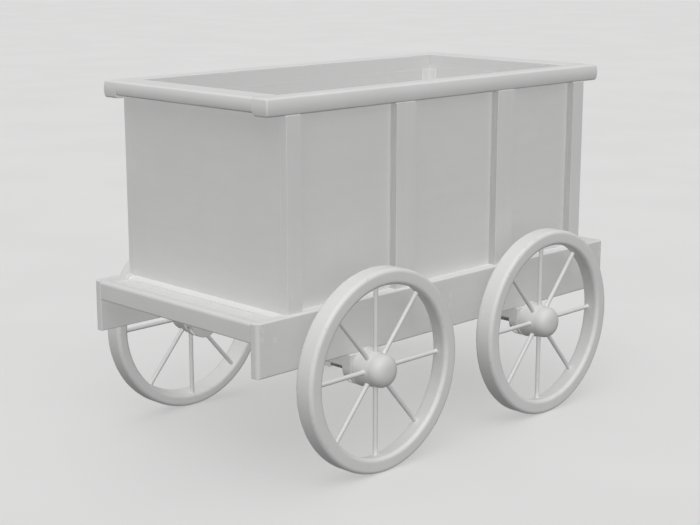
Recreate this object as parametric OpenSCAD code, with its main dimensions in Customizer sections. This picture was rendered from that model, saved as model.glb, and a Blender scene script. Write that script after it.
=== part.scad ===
// Hand-pushed mine cart: a fixed, open, box-shaped tub on a flat timber
// chassis, carried by four spoked iron wheels that turn on fixed axle arms.
//
// Frame: +X along the length of the cart, +Y across it to the right-hand
// side, +Z up. The origin lies on the ground in the middle of the cart.
// "front" is the -X end, "left" is the -Y side. Millimetres.

/* [Wheels] */
// Diameter of a wheel over its tread
wheel_d = 505; // [480:5:515]
// Width of a rim across its tread
rim_w = 55; // [48:1:58]
// Depth of a rim at its outer face
rim_face_depth = 40; // [34:1:42]
// Depth of a rim at its inner face
rim_back_depth = 33; // [30:1:34]
// Rounding of the four arrises of a rim
rim_round = 10; // [4:1:12]
// Middle of a rim, measured from the middle of the cart
rim_y = 366.5; // [365:0.5:372]
// Plane of the spokes, measured from the middle of the cart
spoke_y = 354; // [354:1:360]
// Number of spokes in a wheel
spoke_count = 8; // [6:2:12]
// Diameter of a spoke
spoke_d = 12; // [9:0.5:13]
// How far the sloping spokes lean towards the upright ones, in degrees
spoke_lean = 4; // [0:0.5:8]
// Diameter of a hub at its inner end
hub_d = 98; // [90:1:100]
// Diameter of a hub where it meets its cap
hub_nose_d = 84; // [80:1:88]
// How far the domed hub cap stands out past the hub
hub_dome = 36; // [32:1:40]

/* [Axles] */
// Distance between the front and the rear axle
wheelbase = 638; // [580:2:680]
// Size across flats of the square axle bar
axle_bar = 32; // [28:1:34]
// Radial running clearance between an axle arm and its bush
running_gap = 0.05; // [0.01:0.01:0.10]
// End play of a hub between its two washers, at each end
end_play = 0.5; // [0.3:0.1:1]
// Radius of the round underside of an axle box
axle_box_r = 48; // [46:1:54]
// Width of a bolster along the cart
bolster_w = 90; // [86:2:110]

/* [Chassis] */
// Length of the chassis over its end beams
chassis_len = 1319; // [1300:1:1360]
// Width of the chassis over its sills
chassis_w = 625; // [620:1:628]
// Height of the tops of the sills and end beams above the ground
chassis_z = 420; // [414:1:440]
// How far the deck lies below the tops of the sills and end beams
deck_drop = 10; // [6:1:12]
// Thickness of a sill
sill_t = 25; // [22:1:28]
// Depth of a sill
sill_h = 132; // [120:1:136]
// Thickness of an end beam along the cart
end_beam_t = 29.5; // [24:0.5:34]
// Depth of an end beam
end_beam_h = 50; // [46:1:60]
// Thickness of the deck boards
deck_t = 24; // [20:1:26]
// Number of boards across the deck
deck_board_count = 6; // [4:2:6]

/* [Tub] */
// Length of the tub over its end panels
tub_len = 1112; // [1100:1:1130]
// Width of the tub over its side panels
tub_w = 562; // [554:1:566]
// Height of the tub's posts
post_h = 460; // [440:1:500]
// Thickness of the end panels and of the tub floor
panel_t = 18; // [16:1:22]
// Thickness of the side panels
side_panel_t = 26; // [22:1:30]
// Width of a corner post along the cart
post_w = 46; // [40:1:52]
// Width of a middle post along the cart
mid_post_w = 70; // [50:1:76]
// Thickness of a post
post_t = 21.5; // [18:0.5:24]
// Front face of the second post, from the middle of the cart
second_post_x = -195; // [-230:1:-160]
// Front face of the third post, from the middle of the cart
third_post_x = 187; // [150:1:220]
// Width of the bevelled cleat along the foot of an end panel
end_cleat_w = 17; // [12:1:24]

/* [Cap rails] */
// Depth of a side rail
side_rail_h = 43; // [38:1:46]
// Depth of an end rail
end_rail_h = 36; // [32:1:38]
// Width of a side rail
side_rail_w = 50.5; // [48:0.5:56]
// Width of an end rail along the cart
end_rail_w = 78; // [76:1:82]
// How far the rails overhang an end panel
rail_overhang = 60; // [54:1:64]
// Rounding of the outer arrises of the rails
rail_round = 5; // [3:0.5:8]
// How far the outer faces of the rails swell out
rail_swell = 2.5; // [1:0.5:4]

/* [Hidden] */
$fn = 96;

front = -1;
rear = 1;
left = -1;
right = 1;
ENDS = [front, rear];
SIDES = [left, right];

// Wheels
wheel_r = wheel_d / 2;
rim_face_r = wheel_r - rim_face_depth;
rim_back_r = wheel_r - rim_back_depth;
rim_spoke_share = (spoke_y - rim_y + rim_w / 2) / rim_w;
rim_spoke_r = rim_back_r + (rim_face_r - rim_back_r) * rim_spoke_share;
spoke_r = spoke_d / 2;
fit_gap = 0.05;
spoke_foot_r = 31;
spoke_let_in = 9;
hub_r = hub_d / 2;
hub_nose_r = hub_nose_d / 2;
hub_wall_bore_r = 22;
hub_mouth_r = 28;
hub_back_round = 3;
cap_wall = 6;
cap_base_t = 4;
cap_spigot_t = 2.5;
cap_spigot_len = 7;

// Axles, with every station given as a distance from the middle of the cart
axle_z = wheel_r;
axle_x = wheelbase / 2;
arm_r = axle_bar / 2;
thread_r = arm_r - 2;
washer_t = 3.5;
thrust_washer_r = 43;
nut_washer_r = 24;
washer_bore_gap = 0.2;
nut_flats = 34;
nut_h = 13.5;
box_outer_y = chassis_w / 2 + 3.5;
hub_inner_y = box_outer_y + washer_t + end_play;
hub_outer_y = spoke_y + 13;
bush_outer_y = spoke_y + 1.5;
shoulder_y = bush_outer_y + end_play;
nut_y = shoulder_y + washer_t;
pin_y = nut_y + nut_h + 3.5;
arm_end_y = pin_y + 5;
pin_r = 2;
pin_len = 36;

// Chassis
sill_inner_y = chassis_w / 2 - sill_t;
sill_bottom = chassis_z - sill_h;
deck_top = chassis_z - deck_drop;
deck_bottom = deck_top - deck_t;
beam_outer_x = chassis_len / 2;
beam_inner_x = beam_outer_x - end_beam_t;
board_gap = 0.6;
board_w = 2 * sill_inner_y / deck_board_count;
bolster_bottom = axle_z + 2;
end_bearer_w = 50;
end_bearer_h = 22;
middle_bearer_w = 60;
middle_bearer_h = 50;
arris = 3;
beam_round = 10;
sill_end_round = 10;

// Tub
tub_end_x = tub_len / 2;
tub_side_y = tub_w / 2;
panel_inner_x = tub_end_x - panel_t;
panel_inner_y = tub_side_y - side_panel_t;
post_top = chassis_z + post_h;
rail_top = post_top + side_rail_h;
end_panel_top = rail_top - end_rail_h;
floor_top = deck_top + panel_t;
rail_end_x = tub_end_x + rail_overhang;
rail_outer_y = panel_inner_y + side_rail_w;
rail_corner = 4;
cleat_edge = 1.5;
post_places = [
    [-tub_end_x, post_w],
    [second_post_x, mid_post_w],
    [third_post_x, mid_post_w],
    [tub_end_x - post_w, post_w]
];
post_middles = [for (p = post_places) p[0] + p[1] / 2];
iron_leg = 30;
iron_t = 4;
iron_clear = 1;
iron_foot_gap = 6;

// Coach screws: a square-cornered six-sided head and a plain shank
coach_head_r = 7.5;
coach_head_h = 5.5;
coach_shank_r = 4;
coach_hole_gap = 0.1;
iron_screw_inset = 16;
tub_screw_levels = [475, 610, 745];

// Countersunk screws, which lie flush with the timber
sunk_head_r = 6.5;
sunk_head_h = 3.5;
sunk_shank_r = 3;
sunk_below = 0.3;
sunk_len = 62;

// Bolts that hold the tub and the deck down on the bolsters
bolt_r = 6;
bolt_hole_gap = 0.2;
bolt_head_r = 15;
bolt_head_h = 5;
bolt_head_gap = 0.5;
bolt_y = 150;
bolt_side_step = 31;
bolt_washer_r = 12;
bolt_washer_t = 3;
bolt_nut_flats = 19;
bolt_nut_h = 10;
bolt_tail = 4;

// Clips that hold an axle bar up against its bolster
clip_t = 4;
clip_w = 30;
clip_ear_x = 42;
clip_screw_x = 32;
clip_ys = [-200, 0, 200];
clip_screw_len = 55;

// Angle irons between the bolsters and the sills
angle_leg = 40;
angle_t = 5;
angle_bottom = 292;
angle_top = 378;
angle_screw_inset = 24;
sill_screw_levels = [308, 350];
bolster_screw_levels = [322, 364];
sill_screw_len = 23;
bolster_screw_len = 33;

// Screws up through an axle box into its sill
box_screw_x = 35;
box_screw_len = 70;
box_seat_z = axle_z + 8;
box_seat_r = 10;

// ---------------------------------------------------------------- helpers

// A rectangle in the positive quadrant with its own radius at each corner:
// lower left, lower right, upper right, upper left. A radius of 0 is square.
module soft_rect(w, h, radii) {
    difference() {
        square([w, h]);
        corner_waste(radii[0]);
        translate([w, 0])
            mirror([1, 0])
                corner_waste(radii[1]);
        translate([w, h])
            mirror([1, 0])
                mirror([0, 1])
                    corner_waste(radii[2]);
        translate([0, h])
            mirror([0, 1])
                corner_waste(radii[3]);
    }
}

// What is planed off a square corner at the origin to round it
module corner_waste(r) {
    if (r > 0) {
        difference() {
            translate([-1, -1])
                square([r + 1, r + 1]);
            translate([r, r])
                circle(r);
        }
    }
}

// A convex outline rounded by r about the given centres, which run anticlockwise
module rounded_outline(centres, r) {
    last = len(centres) - 1;
    for (c = centres)
        translate(c)
            circle(r);
    polygon([for (n = [0 : last]) each edge_outside(centres[n], centres[n < last ? n + 1 : 0], r)]);
}

// The line from a to b, moved out to its right by r
function edge_outside(a, b, r) =
    let (d = b - a, out = [d[1], -d[0]] * r / norm(d))
    [a + out, b + out];

// A timber between two X stations, its section drawn in Y and Z
module along_x(x0, x1) {
    translate([x0, 0, 0])
        rotate([90, 0, 90])
            linear_extrude(x1 - x0)
                children();
}

// A timber between two Y stations, its section drawn in X and Z
module along_y(y0, y1) {
    translate([0, y1, 0])
        rotate([90, 0, 0])
            linear_extrude(y1 - y0)
                children();
}

// A timber between two Z stations, its section drawn in X and Y
module along_z(z0, z1) {
    translate([0, 0, z0])
        linear_extrude(z1 - z0)
            children();
}

// Its child as it is on the rear or right-hand side, or its mirror image
module at_end(end) {
    if (end == rear) children();
    else mirror([1, 0, 0]) children();
}

module on_side(side) {
    if (side == right) children();
    else mirror([0, 1, 0]) children();
}

// Turns something built up along +Z so that it points along +Y, outwards
module point_out() {
    rotate([-90, 0, 0]) children();
}

// --------------------------------------------------------------- fasteners

// Coach screw: its seat is at the origin and its shank points along -Z
module coach_screw(len) {
    cylinder(h = coach_head_h, r = coach_head_r, $fn = 6);
    translate([0, 0, -len])
        cylinder(h = len, r = coach_shank_r);
}

module coach_hole(len) {
    translate([0, 0, -len])
        cylinder(h = len + 1, r = coach_shank_r + coach_hole_gap);
}

// Countersunk screw: the face of the timber is at the origin, shank along -Z
module sunk_screw() {
    translate([0, 0, -sunk_below - sunk_head_h])
        cylinder(h = sunk_head_h, r1 = sunk_shank_r, r2 = sunk_head_r);
    translate([0, 0, -sunk_len])
        cylinder(h = sunk_len - sunk_below - sunk_head_h, r = sunk_shank_r);
}

module sunk_hole() {
    translate([0, 0, -sunk_below - sunk_head_h - fit_gap])
        cylinder(h = sunk_head_h, r1 = sunk_shank_r + fit_gap, r2 = sunk_head_r + fit_gap);
    translate([0, 0, -sunk_below - 2 * fit_gap])
        cylinder(h = 2, r = sunk_head_r + fit_gap);
    translate([0, 0, -sunk_len - fit_gap])
        cylinder(h = sunk_len, r = sunk_shank_r + fit_gap);
}

// Places of the screws inside the tub. Each child points along -Z outwards
// through the panel and starts on the face that its head bears on.
module at_iron_side_screws(side) {
    for (end = ENDS)
        for (z = tub_screw_levels)
            translate([end * (panel_inner_x - iron_screw_inset), side * (panel_inner_y - iron_t), z])
                rotate([side * 90, 0, 0])
                    children();
}

module at_iron_end_screws(end) {
    for (side = SIDES)
        for (z = tub_screw_levels)
            translate([end * (panel_inner_x - iron_t), side * (panel_inner_y - iron_screw_inset), z])
                rotate([0, -end * 90, 0])
                    children();
}

module at_post_screws(side) {
    for (n = [1, 2])
        for (z = tub_screw_levels)
            translate([post_middles[n], side * panel_inner_y, z])
                rotate([side * 90, 0, 0])
                    children();
}

iron_side_len = iron_t + side_panel_t + 15;
iron_end_len = iron_t + 13;
post_screw_len = side_panel_t + 15;

module tub_screw_holes() {
    for (side = SIDES) {
        at_iron_side_screws(side) coach_hole(iron_side_len);
        at_post_screws(side) coach_hole(post_screw_len);
    }
    for (end = ENDS)
        at_iron_end_screws(end) coach_hole(iron_end_len);
}

// Places of the countersunk screws: down through the cap rails ...
side_rail_screw_y = tub_side_y + post_t / 2;
end_rail_screw_x = tub_end_x - panel_t / 2 + 2;

module at_side_rail_screws(side) {
    for (x = post_middles)
        translate([x, side * side_rail_screw_y, rail_top])
            children();
}

module at_end_rail_screws(end) {
    for (y = [-200, -70, 70, 200])
        translate([end * end_rail_screw_x, y, rail_top])
            children();
}

// ... and in through the sills into the beams and bearers between them
sill_screw_places = [
    [beam_inner_x + end_beam_t / 2, chassis_z - 15],
    [beam_inner_x + end_beam_t / 2, chassis_z - 38],
    [beam_inner_x - end_bearer_w / 2, deck_bottom - end_bearer_h / 2]
];
middle_screw_places = [
    [0, deck_bottom - 14],
    [0, deck_bottom - 38]
];

module at_sill_screws(side) {
    for (end = ENDS)
        for (p = sill_screw_places)
            translate([end * p[0], side * chassis_w / 2, p[1]])
                rotate([-side * 90, 0, 0])
                    children();
    for (p = middle_screw_places)
        translate([p[0], side * chassis_w / 2, p[1]])
            rotate([-side * 90, 0, 0])
                children();
}

module sill_screw_holes() {
    for (side = SIDES)
        at_sill_screws(side) sunk_hole();
}

// Bolts down through the tub floor: [x, y, z of the timber's underside]
bolt_places = [
    for (side = SIDES)
        for (x = [-(axle_x - bolt_side_step), 0, axle_x - bolt_side_step])
            [x, side * bolt_y, x == 0 ? deck_bottom - middle_bearer_h : bolster_bottom]
];

module bolt_holes() {
    for (p = bolt_places)
        translate([p[0], p[1], axle_z - 40])
            cylinder(h = floor_top - axle_z + 50, r = bolt_r + bolt_hole_gap);
}

// Round seats in the tub floor, so that no bolt head stands above it
bolt_seat_z = floor_top - bolt_head_h - bolt_head_gap;

module bolt_seats() {
    for (p = bolt_places)
        translate([p[0], p[1], bolt_seat_z])
            cylinder(h = bolt_head_h + 2, r = bolt_head_r + bolt_head_gap);
}

// ------------------------------------------------------------------- tub

module tub_floor() {
    color("#b4b4b2")
        difference() {
            along_z(deck_top, floor_top)
                square([2 * panel_inner_x, 2 * panel_inner_y], center = true);
            bolt_holes();
            bolt_seats();
        }
}

module side_panel(side) {
    color("#b6b6b4")
        difference() {
            on_side(side)
                along_z(deck_top, post_top)
                    translate([-panel_inner_x, panel_inner_y])
                        square([2 * panel_inner_x, side_panel_t]);
            at_iron_side_screws(side) coach_hole(iron_side_len);
            at_post_screws(side) coach_hole(post_screw_len);
        }
}

module end_panel(end) {
    color("#b5b5b3")
        difference() {
            at_end(end)
                along_x(panel_inner_x, tub_end_x)
                    end_panel_outline();
            at_iron_end_screws(end) coach_hole(iron_end_len);
            at_end_rail_screws(end) sunk_hole();
        }
}

// As wide as the tub below the side rails, and as wide as its inside between them
module end_panel_outline() {
    translate([-tub_side_y, deck_top])
        square([tub_w, post_top - deck_top]);
    translate([-panel_inner_y, deck_top])
        square([2 * panel_inner_y, end_panel_top - deck_top]);
}

module posts(side) {
    color("#bababa")
        difference() {
            on_side(side)
                along_z(chassis_z, post_top)
                    for (p = post_places)
                        translate([p[0], tub_side_y])
                            soft_rect(p[1], post_t, [0, 0, arris, arris]);
            at_iron_side_screws(side) coach_hole(iron_side_len);
            at_post_screws(side) coach_hole(post_screw_len);
            at_side_rail_screws(side) sunk_hole();
        }
}

module side_rail(side) {
    color("#c4c4c2")
        difference() {
            on_side(side)
                side_rail_blank();
            at_side_rail_screws(side) sunk_hole();
        }
}

// Swelled and rounded on its outer side and over both ends
module side_rail_blank() {
    ends = [rail_round, rail_round, rail_round, rail_round];
    intersection() {
        along_x(-rail_end_x, rail_end_x)
            translate([panel_inner_y, post_top])
                rail_section(side_rail_w, side_rail_h);
        along_y(panel_inner_y, rail_outer_y)
            translate([-rail_end_x, post_top])
                difference() {
                    soft_rect(2 * rail_end_x, side_rail_h, ends);
                    swell_waste(side_rail_h);
                    translate([2 * rail_end_x, 0])
                        mirror([1, 0])
                            swell_waste(side_rail_h);
                }
        along_z(post_top, rail_top)
            translate([-rail_end_x, panel_inner_y])
                soft_rect(2 * rail_end_x, side_rail_w, [0, 0, rail_corner, rail_corner]);
    }
}

// Section of a rail, w wide and h deep, with its outer side on the right
module rail_section(w, h) {
    difference() {
        soft_rect(w, h, [0, rail_round, rail_round, arris]);
        translate([w, 0])
            mirror([1, 0])
                swell_waste(h);
    }
}

// What is planed off a flat face, h deep, to leave it swelling out in the middle
module swell_waste(h) {
    r = (h * h / 4 + rail_swell * rail_swell) / (2 * rail_swell);
    difference() {
        translate([-1, -1])
            square([rail_swell + 1, h + 2]);
        translate([r, h / 2])
            circle(r);
    }
}

module end_rail(end) {
    color("#c2c2c0")
        difference() {
            at_end(end)
                along_y(-panel_inner_y, panel_inner_y)
                    translate([rail_end_x - end_rail_w, end_panel_top])
                        rail_section(end_rail_w, end_rail_h);
            at_end_rail_screws(end) sunk_hole();
        }
}

// Strips on the deck round the foot of the tub, level with the chassis
module end_cleats() {
    color("#c8c8c6")
        for (end = ENDS)
            at_end(end)
                along_y(-sill_inner_y, sill_inner_y)
                    translate([tub_end_x, deck_top])
                        polygon([
                            [0, 0],
                            [end_cleat_w, 0],
                            [end_cleat_w, cleat_edge],
                            [cleat_edge, deck_drop],
                            [0, deck_drop]
                        ]);
}

module side_cleats() {
    color("#c0c0be")
        for (side = SIDES)
            on_side(side)
                along_x(-tub_end_x, tub_end_x)
                    translate([tub_side_y, deck_top])
                        square([sill_inner_y - tub_side_y, deck_drop]);
}

module corner_irons() {
    color("#a2a2a0")
        difference() {
            for (end = ENDS)
                for (side = SIDES)
                    at_end(end)
                        on_side(side)
                            along_z(floor_top + iron_foot_gap, post_top - iron_clear)
                                angle_section(panel_inner_x, panel_inner_y);
            tub_screw_holes();
        }
}

// An angle iron's section with its heel at [x, y] and its legs inwards
module angle_section(x, y) {
    translate([x - iron_leg, y - iron_t])
        soft_rect(iron_leg, iron_t, [arris / 2, 0, 0, 0]);
    translate([x - iron_t, y - iron_leg])
        soft_rect(iron_t, iron_leg, [arris / 2, 0, 0, 0]);
}

module tub_screws() {
    color("#9a9a98") {
        for (side = SIDES) {
            at_iron_side_screws(side) coach_screw(iron_side_len - 1);
            at_post_screws(side) coach_screw(post_screw_len - 1);
        }
        for (end = ENDS)
            at_iron_end_screws(end) coach_screw(iron_end_len - 1);
    }
}

// --------------------------------------------------------------- chassis

module sill(side) {
    color("#b2b2b0")
        difference() {
            on_side(side)
                sill_blank();
            sill_screw_holes();
            at_box_screws(side) coach_hole(box_screw_len);
            at_sill_angle_screws(side) coach_hole(sill_screw_len);
        }
}

// Its outer corners are rounded off as seen from above
module sill_blank() {
    intersection() {
        along_x(-beam_outer_x, beam_outer_x)
            translate([sill_inner_y, sill_bottom])
                soft_rect(sill_t, sill_h, [arris, arris, arris, 0]);
        along_z(sill_bottom, chassis_z)
            translate([-beam_outer_x, sill_inner_y])
                soft_rect(2 * beam_outer_x, sill_t, [0, 0, sill_end_round, sill_end_round]);
    }
}

module end_beam(end) {
    color("#c0c0be")
        difference() {
            at_end(end)
                along_y(-sill_inner_y, sill_inner_y)
                    translate([beam_inner_x, chassis_z - end_beam_h])
                        soft_rect(end_beam_t, end_beam_h, [arris, arris, beam_round, beam_round]);
            sill_screw_holes();
        }
}

module deck_boards() {
    color("#b8b8b6")
        difference() {
            along_z(deck_bottom, deck_top)
                for (n = [0 : deck_board_count - 1])
                    translate([-beam_inner_x, n * board_w - sill_inner_y + board_gap / 2])
                        square([2 * beam_inner_x, board_w - board_gap]);
            bolt_holes();
        }
}

module end_bearer(end) {
    color("#acacaa")
        difference() {
            at_end(end)
                along_y(-sill_inner_y, sill_inner_y)
                    translate([beam_inner_x - end_bearer_w, deck_bottom - end_bearer_h])
                        soft_rect(end_bearer_w, end_bearer_h, [arris, arris, 0, 0]);
            sill_screw_holes();
        }
}

module middle_bearer() {
    color("#acacaa")
        difference() {
            along_y(-sill_inner_y, sill_inner_y)
                translate([-middle_bearer_w / 2, deck_bottom - middle_bearer_h])
                    soft_rect(middle_bearer_w, middle_bearer_h, [arris, arris, 0, 0]);
            sill_screw_holes();
            bolt_holes();
        }
}

module bolster(end) {
    color("#aeaeac")
        difference() {
            along_y(-sill_inner_y, sill_inner_y)
                translate([end * axle_x - bolster_w / 2, bolster_bottom])
                    soft_rect(bolster_w, deck_bottom - bolster_bottom, [arris, arris, 0, 0]);
            along_y(-sill_inner_y - 1, sill_inner_y + 1)
                translate([end * axle_x - arm_r - fit_gap, bolster_bottom - 1])
                    square([axle_bar + 2 * fit_gap, arm_r + 2 + fit_gap]);
            bolt_holes();
            at_clip_screws() coach_hole(clip_screw_len);
            at_bolster_angle_screws() coach_hole(bolster_screw_len);
        }
}

// Angle irons in the corners between a bolster and the sills
module at_angles() {
    for (end = ENDS)
        for (face = [-1, 1])
            for (side = SIDES)
                translate([end * axle_x + face * bolster_w / 2, side * sill_inner_y, 0])
                    mirror([face < 0 ? 1 : 0, 0, 0])
                        mirror([0, side > 0 ? 1 : 0, 0])
                            children();
}

module bolster_angles() {
    color("#9c9c9a")
        difference() {
            at_angles()
                along_z(angle_bottom, angle_top) {
                    square([angle_leg, angle_t]);
                    square([angle_t, angle_leg]);
                }
            for (side = SIDES)
                at_sill_angle_screws(side) coach_hole(sill_screw_len);
            at_bolster_angle_screws() coach_hole(bolster_screw_len);
        }
}

module at_sill_angle_screws(side) {
    for (end = ENDS)
        for (face = [-1, 1])
            for (z = sill_screw_levels)
                translate([
                    end * axle_x + face * (bolster_w / 2 + angle_screw_inset),
                    side * (sill_inner_y - angle_t),
                    z
                ])
                    rotate([side * 90, 0, 0])
                        children();
}

module at_bolster_angle_screws() {
    for (end = ENDS)
        for (face = [-1, 1])
            for (side = SIDES)
                for (z = bolster_screw_levels)
                    translate([
                        end * axle_x + face * (bolster_w / 2 + angle_t),
                        side * (sill_inner_y - angle_screw_inset),
                        z
                    ])
                        rotate([0, face * 90, 0])
                            children();
}

module chassis_screws() {
    color("#9a9a98") {
        for (side = SIDES) {
            at_box_screws(side) coach_screw(box_screw_len - 1);
            at_sill_angle_screws(side) coach_screw(sill_screw_len - 1);
        }
        at_bolster_angle_screws() coach_screw(bolster_screw_len - 1);
        at_clip_screws() coach_screw(clip_screw_len - 1);
    }
}

module countersunk_screws() {
    color("#bcbcba")
        for (n = [0, 1]) {
            at_sill_screws(SIDES[n]) sunk_screw();
            at_side_rail_screws(SIDES[n]) sunk_screw();
            at_end_rail_screws(ENDS[n]) sunk_screw();
        }
}

// Round-headed bolts, their low domed heads let into the tub floor
module tub_bolts() {
    color("#9a9a98")
        for (p = bolt_places) {
            tail_z = p[2] - bolt_washer_t - bolt_nut_h - bolt_tail;
            translate([p[0], p[1], bolt_seat_z])
                low_dome(bolt_head_r, bolt_head_h);
            translate([p[0], p[1], tail_z])
                cylinder(h = bolt_seat_z - tail_z, r = bolt_r);
        }
}

// The cap of a sphere: radius r at its foot and height h
module low_dome(r, h) {
    ball_r = (r * r + h * h) / (2 * h);
    intersection() {
        translate([0, 0, h - ball_r])
            sphere(ball_r);
        cylinder(h = h + 1, r = r);
    }
}

module tub_bolt_nuts() {
    color("#929290")
        difference() {
            for (p = bolt_places)
                translate([p[0], p[1], p[2] - bolt_washer_t]) {
                    cylinder(h = bolt_washer_t, r = bolt_washer_r);
                    translate([0, 0, -bolt_nut_h])
                        cylinder(h = bolt_nut_h, r = bolt_nut_flats / sqrt(3), $fn = 6);
                }
            bolt_holes();
        }
}

// ----------------------------------------------------------------- axles

// Square bar between the axle boxes with a turned, threaded arm at each end
module axle(end) {
    color("#8e8e8c")
        translate([end * axle_x, 0, axle_z])
            difference() {
                union() {
                    along_y(-box_outer_y, box_outer_y)
                        square([axle_bar, axle_bar], center = true);
                    for (side = SIDES)
                        on_side(side)
                            axle_arm();
                }
                for (side = SIDES)
                    translate([-pin_len / 2 - 1, side * pin_y, 0])
                        rotate([0, 90, 0])
                            cylinder(h = pin_len + 2, r = pin_r + fit_gap);
            }
}

module axle_arm() {
    translate([0, box_outer_y, 0])
        point_out()
            cylinder(h = shoulder_y - box_outer_y, r = arm_r);
    translate([0, shoulder_y, 0])
        point_out()
            cylinder(h = arm_end_y - shoulder_y, r = thread_r);
}

// Puts its child, built on the Y axis on the right-hand side, at a wheel
module at_wheel(end, side) {
    translate([end * axle_x, 0, axle_z])
        on_side(side)
            children();
}

module at_wheels() {
    for (end = ENDS)
        for (side = SIDES)
            at_wheel(end, side)
                children();
}

// Block under a sill that carries the axle: square above, round below
module axle_box(end, side) {
    color("#a6a6a4")
        difference() {
            at_wheel(end, side)
                along_y(sill_inner_y, box_outer_y)
                    difference() {
                        axle_box_outline();
                        square(axle_bar + 2 * fit_gap, center = true);
                    }
            at_box_screws(side) coach_hole(box_screw_len);
            at_box_screws(side) box_screw_pocket();
        }
}

module axle_box_outline() {
    intersection() {
        circle(axle_box_r);
        translate([-axle_box_r, -axle_box_r])
            square([2 * axle_box_r, axle_box_r]);
    }
    translate([-axle_box_r, 0])
        square([2 * axle_box_r, sill_bottom - axle_z]);
}

module box_screw_pocket() {
    cylinder(h = axle_box_r + 10, r = box_seat_r);
}

module at_box_screws(side) {
    for (end = ENDS)
        for (face = [-1, 1])
            translate([
                end * axle_x + face * box_screw_x,
                side * (chassis_w - sill_t) / 2,
                box_seat_z
            ])
                rotate([180, 0, 0])
                    children();
}

// Strap under the axle bar, with an ear at each side against the bolster
module axle_clips() {
    color("#9c9c9a")
        difference() {
            for (end = ENDS)
                for (y = clip_ys)
                    translate([end * axle_x, y - clip_w / 2, 0])
                        along_y(0, clip_w)
                            clip_section();
            at_clip_screws() coach_hole(clip_screw_len);
        }
}

module clip_section() {
    cheek = arm_r + fit_gap;
    for (face = [-1, 1]) {
        translate([face < 0 ? -clip_ear_x : cheek, bolster_bottom - clip_t])
            square([clip_ear_x - cheek, clip_t]);
        translate([face < 0 ? -cheek - clip_t : cheek, axle_z - cheek - clip_t])
            square([clip_t, bolster_bottom - axle_z + cheek + clip_t]);
    }
    translate([-cheek - clip_t, axle_z - cheek - clip_t])
        square([2 * (cheek + clip_t), clip_t]);
}

module at_clip_screws() {
    for (end = ENDS)
        for (face = [-1, 1])
            for (y = clip_ys)
                translate([end * axle_x + face * clip_screw_x, y, bolster_bottom - clip_t])
                    rotate([180, 0, 0])
                        children();
}

// A flat ring around the axle, from station y outwards
module washer(y, outer_r, bore_r, t) {
    translate([0, y, 0])
        point_out()
            difference() {
                cylinder(h = t, r = outer_r);
                translate([0, 0, -1])
                    cylinder(h = t + 2, r = bore_r);
            }
}

module axle_washers() {
    color("#8a8a88")
        at_wheels() {
            washer(box_outer_y, thrust_washer_r, arm_r + washer_bore_gap, washer_t);
            washer(shoulder_y, nut_washer_r, thread_r + washer_bore_gap, washer_t);
        }
}

module axle_nuts() {
    color("#868684")
        at_wheels()
            translate([0, nut_y, 0])
                point_out()
                    difference() {
                        cylinder(h = nut_h, r = nut_flats / sqrt(3), $fn = 6);
                        translate([0, 0, -1])
                            cylinder(h = nut_h + 2, r = thread_r + fit_gap);
                    }
}

module axle_pins() {
    color("#7c7c7a")
        at_wheels()
            translate([-pin_len / 2, pin_y, 0])
                rotate([0, 90, 0])
                    cylinder(h = pin_len, r = pin_r);
}

// ---------------------------------------------------------------- wheels

// Radial placing for the spokes: each child points along +Z, outwards. The
// upright and level spokes stand true, and those between lean upright.
module at_spokes() {
    for (n = [0 : spoke_count - 1])
        translate([0, spoke_y, 0])
            rotate([0, spoke_angle(n * 360 / spoke_count), 0])
                children();
}

function spoke_angle(a) = a - spoke_lean * sin(2 * a);

module spoke_hole(r0, r1) {
    translate([0, 0, r0])
        cylinder(h = r1 - r0, r = spoke_r + fit_gap);
}

module rim(end, side) {
    color("#cacac8")
        at_wheel(end, side)
            difference() {
                translate([0, rim_y - rim_w / 2, 0])
                    point_out()
                        rotate_extrude()
                            rim_section();
                at_spokes()
                    spoke_hole(rim_face_r - 5, rim_spoke_r + spoke_let_in);
            }
}

// Half of a cut across a rim: radius against distance out from its inner face
module rim_section() {
    rounded_outline([
        [rim_back_r + rim_round, rim_round],
        [wheel_r - rim_round, rim_round],
        [wheel_r - rim_round, rim_w - rim_round],
        [rim_face_r + rim_round, rim_w - rim_round]
    ], rim_round);
}

module spokes(end, side) {
    color("#c6c6c4")
        at_wheel(end, side)
            at_spokes()
                translate([0, 0, spoke_foot_r])
                    cylinder(h = rim_spoke_r + spoke_let_in - 0.5 - spoke_foot_r, r = spoke_r);
}

module hub(end, side) {
    barrel = hub_outer_y - hub_inner_y;
    bush_seat = bush_outer_y - hub_inner_y;
    color("#c4c4c2")
        at_wheel(end, side)
            difference() {
                translate([0, hub_inner_y, 0])
                    point_out()
                        rotate_extrude()
                            difference() {
                                hub_outline(barrel);
                                translate([-1, -1])
                                    square([hub_wall_bore_r + 1, barrel + 2]);
                                translate([-1, bush_seat])
                                    square([hub_mouth_r + 1, barrel]);
                            }
                at_spokes()
                    spoke_hole(spoke_foot_r - 0.5, hub_r + 5);
            }
}

// Half of a lengthwise cut through a hub, which tapers from its inner end
// to its nose: radius against distance out
module hub_outline(len) {
    polygon([
        [0, 0],
        [hub_r - hub_back_round, 0],
        [hub_r - hub_back_round / 3, hub_back_round / 3],
        [hub_r, hub_back_round],
        [hub_nose_r, len],
        [0, len]
    ]);
}

module bush(end, side) {
    color("#b08a4a")
        at_wheel(end, side)
            translate([0, hub_inner_y, 0])
                point_out()
                    difference() {
                        cylinder(h = bush_outer_y - hub_inner_y, r = hub_wall_bore_r - 0.02);
                        translate([0, 0, -1])
                            cylinder(h = bush_outer_y - hub_inner_y + 2, r = arm_r + running_gap);
                    }
}

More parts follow.
